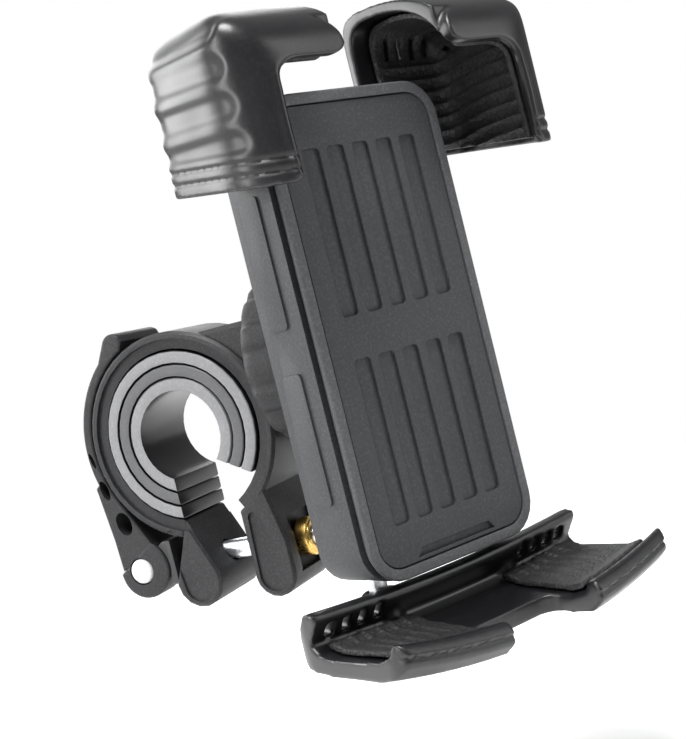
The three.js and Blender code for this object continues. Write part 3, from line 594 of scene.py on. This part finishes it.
def claw_solid(name, inset):
    """The rounded outer form of a claw, shrunk by inset: side profile, plan and front outline together."""
    back, front, side, top = CLAW_BACK - inset, CLAW_FRONT + inset, CLAW_OUT - inset, 68.4 - inset
    profile = [(back, 16)] + curve_through((back, 64 - inset), (back, top), (back - 4.5, top))
    profile += curve_through((back - 5, top), (-8, top - 0.6), (front + 3.6, 61.4 - inset))
    profile += curve_through((front + 3.4, 61.2 - inset), (front, 58 - inset), (front, 52 - inset / 2))
    profile += [(front, 16)]
    body = cut_plate(name, [profile], (2, CLAW_OUT), HOLDER_SIDE)
    r_front, r_back = max(10.5 - inset, 2), max(6 - inset, 1.5)
    plan = [(1, back), (1, front)] + arc(side - r_front, front + r_front, r_front, -90, 0)
    plan += arc(side - r_back, back - r_back, r_back, 0, 90)
    combine(body, cut_plate("claw_plan", [plan], (10, 80), HOLDER_PLAN), "INTERSECT")
    r_top = max(12 - inset, 2)
    front_view = [(1, 16), (side, 16)] + arc(side - r_top, top - 1 - r_top, r_top, 0, 80)
    front_view += [(CLAW_IN + 6, top), (1, top + 0.4)]
    combine(body, cut_plate("claw_front", [front_view], (-30, 30), HOLDER_PLATE), "INTERSECT")
    apply(body, "REMESH", mode="VOXEL", voxel_size=0.7 * MM)
    apply(body, "SMOOTH", factor=0.5, iterations=70)
    carve(body, lambda place, normal: 0.55)
    apply(body, "DECIMATE", ratio=0.35)
    return body


def claw_edge_height(y, lift=0.0):
    return 30.2 + (y + 20) * 0.155 + lift


def above_edge(name, lift):
    outline = [(-30, claw_edge_height(-30, lift)), (30, claw_edge_height(30, lift)), (30, 90), (-30, 90)]
    return cut_plate(name, [outline], (0, 60), HOLDER_SIDE)


def lip_window(name, depth):
    outline = [(0, 0), (31.5, 0), (31.5, 48)]
    outline += curve_through((31.5, 48.2), (31.5, 53.2), (26.5, 53.2)) + [(0, 53.2)]
    return cut_plate(name, [outline], depth, HOLDER_PLATE)


def finger_troughs(place):
    """Depth of the round-ended troughs on a claw's outer side."""
    depth = 0
    for i in range(4):
        middle = 40.6 + 7.3 * i + 0.10 * (place.y + 4)
        end = -14 + 0.6 * i
        off = Vector((max(end - place.y, 0), place.z - middle)).length
        depth = max(depth, 0.62 * ramp(3.5 - off, 0, 2.6))
    return depth * ramp(place.x, 33, 37) * ramp(65 - place.z, 0, 3)


def make_claw():
    outer = claw_solid("claw", 0)
    form = copy_of(outer, "claw_form")
    hollow = claw_solid("hollow", 2.6)
    combine(outer, hollow, "DIFFERENCE")
    combine(outer, block("inner_end", (-5, -40, 0), (CLAW_IN, 40, 90)), "DIFFERENCE")
    combine(outer, lip_window("lip_window", (14, 40)), "DIFFERENCE")
    tip = [(0, 85), (0, 40), (17.2, 52.4)] + curve_through((17, 53.2), (13.4, 53.6), (13.7, 56.4), 8)
    tip += curve_through((13.8, 56.8), (14.2, 60), (18.5, 61.4), 8) + [(19, 85)]
    combine(outer, cut_plate("tip", [tip], (16.5, 40), HOLDER_PLATE), "DIFFERENCE")
    combine(outer, above_edge("edge", 0), "INTERSECT")
    combine(outer, block("body_room", (0, -2, 0), (24.4, 22, 52)), "DIFFERENCE")
    for i in range(5):
        x = 20.5 + i * 3.7
        combine(outer, block("comb", (x, 6, 57.6), (x + 2.1, 20 if i == 1 else 12.6, 63.2)), "DIFFERENCE")
    bead = [(31.7, -19.7, 31.2), (31.7, -19.7, 47.5), (31.2, -19.5, 51), (29.2, -19.3, 53), (26, -19.1, 54),
            (20, -19.0, 54.4), (16.6, -18.9, 54.9)]
    combine(outer, wire_path("lip_bead", bead, 1.05), "UNION")
    moulded(outer, 0.38, 9)

    def shape(place, normal):
        found, nearest, facing, _ = form.closest_point_on_mesh((place + HOLDER) * MM)
        if not found or (nearest / MM - HOLDER - place).length > 0.9 or normal.dot(facing) < 0.5:
            return 0
        above = place.z - claw_edge_height(place.y)
        depth = -finger_troughs(place) * ramp(above, 6, 8)
        hems = dip(above, 2.6, 0.75) + dip(above, 5, 0.75)
        return depth - 0.36 * hems * ramp(Vector((facing.x, facing.y)).length, 0.6, 0.9)

    carve(outer, shape)
    apply(outer, "SMOOTH", factor=0.4, iterations=2)
    bpy.data.objects.remove(form)
    return outer


def make_claw_liner():
    skin = claw_solid("liner", 2.9)
    hollow = claw_solid("liner_hollow", 4.4)
    combine(skin, hollow, "DIFFERENCE")
    combine(skin, lip_window("liner_window", (12, 40)), "DIFFERENCE")
    combine(skin, above_edge("liner_edge", 1.2), "INTERSECT")
    combine(skin, block("liner_end", (0, -30, 0), (18, 40, 90)), "DIFFERENCE")
    combine(skin, block("liner_body_room", (0, -2, 0), (25, 22, 53)), "DIFFERENCE")
    for i in range(5):
        x = 20.9 + i * 3.7
        combine(skin, block("liner_comb", (x, 5, 58), (x + 1.4, 20, 62.8)), "DIFFERENCE")
    moulded(skin, 0.4, 5)

    def shape(place, normal):
        inner = ramp(-normal.x, 0.5, 0.9) if place.x > 34.5 else 0
        inner += ramp(-normal.y, 0.5, 0.9) if place.y > 8 else 0
        ribs = sum(dip(place.z + 0.006 * (place.y + 4) ** 2, 35.5 + 3.1 * i, 1.0) for i in range(8))
        return 0.55 * min(inner, 1) * ribs

    carve(skin, shape)
    return skin


# ---- lower jaw ------------------------------------------------------------------------------------
JAW_HALF = 38
JAW_SECTION = [(5.6, -51.0), (7.2, -51.3), (8.6, -52.6), (13, -58.0), (13.4, -60), (12.4, -61.8), (9, -63.1),
               (2, -63.7), (-14, -63.6), (-19.6, -62.6), (-22.6, -60.2), (-23.2, -57.6), (-22, -55.9),
               (-20.8, -55.7), (-19.7, -56.4), (-18.8, -58.2), (-15, -59.5), (0, -60.1), (4.6, -59.4),
               (6.8, -57.5), (3.2, -52.8), (3.4, -51.4)]
JAW_SINK = 4.6
JAW_BOW = 2.4
ROD_X = 16.5


def jaw_form(name, section, half, steps=38):
    """The section drawn out across the jaw, sinking and bowing forward towards its middle."""
    bar = cut_plate(name, [section], (-half, -half + 2 * half / steps), HOLDER_SIDE)
    make_active(bar)
    bpy.ops.object.mode_set(mode="EDIT")
    bpy.ops.mesh.select_all(action="DESELECT")
    bpy.ops.mesh.select_mode(type="FACE")
    work = bmesh.from_edit_mesh(bar.data)
    limit = (HOLDER.x - half + half / steps) * MM
    for face in work.faces:
        if face.calc_center_median().x > limit and face.normal.x > 0.9:
            face.select_set(True)
    bmesh.update_edit_mesh(bar.data)
    for _ in range(steps - 1):
        bpy.ops.mesh.extrude_region_move(TRANSFORM_OT_translate={"value": (2 * half / steps * MM, 0, 0)})
    bpy.ops.object.mode_set(mode="OBJECT")
    for vertex in bar.data.vertices:
        x, y, z = vertex.co / MM - HOLDER
        share = max(1 - (x / JAW_HALF) ** 2, 0)
        forward = min(max((4 - y) / 26, 0), 1)
        vertex.co.z -= JAW_SINK * share * (0.35 + 0.65 * forward) * MM
        vertex.co.y -= JAW_BOW * share * forward * MM
    clean(bar)
    return bar


def make_jaw():
    jaw = jaw_form("jaw", JAW_SECTION, JAW_HALF)
    port = [(-12.2, -40), (12.2, -40), (12.2, -15)] + curve_through((12.2, -14), (12, -9.6), (7.2, -9.6))
    port += curve_through((-7.2, -9.6), (-12, -9.6), (-12.2, -14))
    combine(jaw, cut_plate("port", [port], (-90, -40), HOLDER_PLAN), "DIFFERENCE")
    corners = rounded(JAW_HALF, 21, 8, 0, -5.6)
    combine(jaw, cut_plate("corners", [corners], (-90, -40), HOLDER_PLAN), "INTERSECT")
    for side in (-1, 1):
        x = side * ROD_X
        combine(jaw, rod("boss", 4.1, (x, 9.3, -64.6), (x, 9.3, -53)), "UNION")
        combine(jaw, rod("rod_hole", 2.4, (x, 9.5, -60.6), (x, 9.5, -40)), "DIFFERENCE")
        for i in range(4):
            x = side * (21 + i * 4.1)
            combine(jaw, block("jaw_slot", (x - 1.1, 3, -57), (x + 1.1, 16, -54)), "DIFFERENCE")
    moulded(jaw, 0.45, 7)

    def shape(place, normal):
        share = max(1 - (place.x / JAW_HALF) ** 2, 0)
        lip = ramp(-place.y, 19, 21)
        lip_top = -55.8 - JAW_SINK * share
        depth = -0.5 * lip * dip(place.z, lip_top - 2.6, 0.7) * ramp(-normal.y, 0.2, 0.6)
        under = ramp(-normal.z, 0.6, 0.9)
        ribs = sum(dip(abs(place.x), 17 + 5 * i, 1.6) for i in range(4))
        depth -= 0.5 * under * ribs * ramp(place.y, -16, -12) * ramp(6 - place.y, -2, 2)
        return depth

    carve(jaw, shape)
    apply(jaw, "SMOOTH", factor=0.5, iterations=1)
    return jaw


def make_jaw_liner(side):
    section = [(-18.1, -57.6), (-17.2, -58.4), (-14.6, -59.1), (0, -59.7), (4, -59.1), (5.2, -58.1),
               (4, -57.5), (0, -58.4), (-14.2, -57.9), (-17.4, -56.9)]
    liner = jaw_form("jaw_liner", section, JAW_HALF, 30)
    low, high = (13.2, 35) if side > 0 else (-35, -13.2)
    combine(liner, block("jaw_liner_room", (low, -30, -80), (high, 20, -40)), "INTERSECT")
    moulded(liner, 0.35, 4)

    def shape(place, normal):
        ribs = sum(dip(abs(place.x) + 0.01 * (place.y + 6) ** 2, 17.5 + 3.4 * i, 0.9) for i in range(5))
        return 0.4 * ribs * ramp(normal.z, 0.5, 0.9) * ramp(place.y, -14, -10)

    carve(liner, shape)
    return liner


# ---- pad, collar and trim -------------------------------------------------------------------------
def make_pad():
    slots = []
    for i in range(5):
        x = (i - 2) * 6.5
        slots += [rounded(2.15, 17.6, 0.9, x, 21.9, 4), rounded(2.15, 17.6, 0.9, x, -22.3, 4)]
    foot = [(-11, -47.6), (-9.6, -45.9), (9.6, -45.9), (11, -47.6)]
    edge = rounded(20.5, 48.4, 5.3)
    top = cut_plate("pad_face", [edge, *slots, foot], (-1.25, -0.3), HOLDER_PLATE, 0.22, 3)
    base = cut_plate("pad_base", [edge], (-1.85, -1.15), HOLDER_PLATE, 0.1, 1)
    return top, base


def turned(name, profile, centre, axis, steps):
    """A profile of (radius, distance along the axis) pairs spun all the way round."""
    data = bpy.data.curves.new(name, "CURVE")
    data.dimensions = "3D"
    spline = data.splines.new("POLY")
    spline.points.add(len(profile) - 1)
    for point, (r, along) in zip(spline.points, profile):
        point.co = (r, 0, along, 1)
    piece = bpy.data.objects.new(name, data)
    bpy.context.collection.objects.link(piece)
    make_active(piece)
    bpy.ops.object.convert(target="MESH")
    piece = bpy.context.object
    bpy.ops.object.mode_set(mode="EDIT")
    bpy.ops.mesh.select_all(action="SELECT")
    bpy.ops.mesh.spin(steps=steps, angle=2 * math.pi, center=(0, 0, 0), axis=(0, 0, 1))
    bpy.ops.object.mode_set(mode="OBJECT")
    turn = Vector(axis).to_track_quat("Z", "Y").to_matrix().to_4x4()
    piece.data.transform(Matrix.Scale(MM, 4) @ Matrix.Translation(centre) @ turn)
    clean(piece)
    return piece


def make_collar():
    rim = arc(17.4, 6.4, 1.6, 90, 0, 4)[::-1]
    profile = [(15.8, 8), (15.8, 0.2), (9.3, 0.2), (9.05, -2), (8.6, -3.6), (10.4, -5), (16.6, -5.0)]
    profile += [(18.4, -4.6), (19.5, -3.6), (20, -2.2)] + [(20, -1 + i) for i in range(7)]
    profile += [(19.8, 6.4), (19.2, 7.4), (18.2, 8), (15.8, 8)]
    collar = turned("collar", profile, BALL, -FORWARD, 144)
    centre = BALL * MM
    back = -FORWARD
    for vertex in collar.data.vertices:
        off = vertex.co - centre
        along = off.dot(back)
        out = off - back * along
        r = out.length / MM
        if r < 17.5:
            continue
        angle = math.degrees(math.atan2(out.dot(UP), out.dot(ALONG_BAR))) % 22.5
        groove = dip(angle, 11.25, 6.5)
        keep = 1 - 0.055 * groove * ramp(r, 17.5, 19.5)
        vertex.co = centre + back * along + out * keep
    collar.data.update()
    return collar


# ---- lever and saddle -----------------------------------------------------------------------------
def round_hole(name, radius, half_width):
    """A round cutter about the lever's pivot."""
    return cut_plate(name, [arc(PIVOT_F, PIVOT_U, radius, 0, 350, 35)], (-half_width, half_width), CLAMP_SIDE)


def leaning_hole(f, u, half_f, half_u):
    """A through hole in the lever's side: an oval that leans with the strap."""
    lean = math.radians(14)
    outline = []
    for x, y in arc(0, 0, 1, 0, 345, 23):
        outline.append((f + half_f * x * math.cos(lean) - half_u * y * math.sin(lean),
                        u + half_f * x * math.sin(lean) + half_u * y * math.cos(lean)))
    return cut_plate("relief_hole", [outline], (-12, 12), CLAMP_SIDE)


def cam_outline():
    """The cam's edge, which draws in towards the pin over the lever's travel."""
    outline = []
    for i in range(25):
        angle = 60 - 10 * i
        r = CAM_RADIUS - CAM_DROP * min(max(-angle / LEVER_TRAVEL, 0), 1.1)
        turn = math.radians(angle)
        outline.append((PIVOT_F + r * math.cos(turn), PIVOT_U + r * math.sin(turn)))
    return outline


def make_lever():
    """The cam lever: a strap round the back of the ring with a thumb tab, and a cam round the pin."""
    strap = arc(0, 0, 25.7, 116, 204, 30)
    strap += [(-15.6, -25.8), (-15.2, -27), (-26.2, -30), (-26.6, -22), (-28.1, -8.6)]
    strap += arc(0, 0, 28.2, 196, 131, 24) + arc(-13.2, 24.6, 3.0, 150, 40, 10) + [(-10.4, 25.2)]
    lever = cut_plate("lever", [strap], (-9.4, 9.4), CLAMP_SIDE, 0.7, 3)
    combine(lever, cut_plate("cam", [cam_outline()], (-9.5, 9.5), CLAMP_SIDE, 0.7, 3), "UNION")
    combine(lever, round_hole("cam_slot", 5.6, 3), "DIFFERENCE")
    sweep = [(PIVOT_F, PIVOT_U)] + arc(PIVOT_F, PIVOT_U, 14, 24, -180, 24)
    combine(lever, cut_plate("bolt_room", [sweep], (-3, 3), CLAMP_SIDE), "DIFFERENCE")
    combine(lever, round_hole("pin_hole", 3.4, 12), "DIFFERENCE")
    for place in ((-26.9, -1.6, 0.5, 2.1), (-25.5, -9.4, 1.1, 2.6), (-22.4, -18.4, 2.1, 3)):
        combine(lever, leaning_hole(*place), "DIFFERENCE")
    return lever


def make_saddle():
    """The wear plate as a hollowed saddle that the cam rolls in, with the bolt's hole through it."""
    outline = [(-11.25, -35), (-11.25, -24.4), (-13.4, -24.4)]
    outline += arc(PIVOT_F, PIVOT_U, 8.0, 42, -26, 14) + [(-13.2, -35)]
    saddle = cut_plate("saddle", [outline], (-9, 9), CLAMP_SIDE, 0.15, 1)
    bore = cut_plate("saddle_bore", [rounded(9, 3.1, 3, -13, PIVOT_U)], (-3.1, 3.1), CLAMP_SIDE)
    return combine(saddle, bore, "DIFFERENCE")


# ---- assembly -------------------------------------------------------------------------------------
make_camera()
make_studio()
finish_cad_nodes()

claw = make_claw()
claw_left = mirrored(claw, "claw_left")
finished(claw, "grip_claw_right", "upper_carriage", GLOSS, "gloss_black", "upper_claw_right")
finished(claw_left, "grip_claw_left", "upper_carriage", GLOSS, "gloss_black", "upper_claw_left")
liner = make_claw_liner()
liner_left = mirrored(liner, "liner_left")
finished(liner, "claw_lining_right", "upper_carriage", LINER, "soft_liner", "claw_liner_right")
finished(liner_left, "claw_lining_left", "upper_carriage", LINER, "soft_liner", "claw_liner_left")
finished(make_jaw(), "grip_jaw", "lower_carriage", GLOSS, "gloss_black", "lower_jaw")
for label, side in (("right", 1), ("left", -1)):
    lining = make_jaw_liner(side)
    finished(lining, "jaw_lining_" + label, "lower_carriage", LINER, "soft_liner", "jaw_liner_" + label)
pad_face, pad_base = make_pad()
finished(pad_face, "pad_face", "holder", FACE, "soft_liner", "silicone_pad")
finished(pad_base, "pad_base", "holder", FACE, "soft_liner", "silicone_pad")
finished(make_collar(), "grip_collar", "collar", MATT, "moulded_nylon", "locking_collar")

finished(make_lever(), "grip_lever", "lever", MATT, "moulded_nylon", "cam_lever", angle=32)
finished(make_saddle(), "cam_saddle", "clamp", SATIN, "steel", "cam_plate", angle=32)
for node, body, finish, slot, edge in (
        ("clamp_body", "clamp", MATT, "moulded_nylon", 0.5),
        ("rear_housing", "holder", CASE, "moulded_nylon", 0.4),
        ("front_bezel", "holder", BEZEL, "moulded_nylon", 0.4),
        ("bushing_inner", "clamp", LIGHT_RUBBER, "light_rubber", 0.2),
        ("bushing_middle", "clamp", DARK_RUBBER, "dark_rubber", 0.2),
        ("bushing_outer", "clamp", LIGHT_RUBBER, "light_rubber", 0.2),
        ("lever_pin", "lever", PIN_FINISH, "steel", 0.8),
        ("draw_bolt", "bolt", STEEL, "steel", 0.2),
        ("brass_nut", "nut", BRASS, "brass", 0.25),
        ("joint_ball", "ball", GLOSS, "gloss_black", 0),
        ("ball_stud", "holder", BLACK_STEEL, "steel", 0.3)):
    smoothed_node(node, node + "_skin", body, finish, slot, edge)
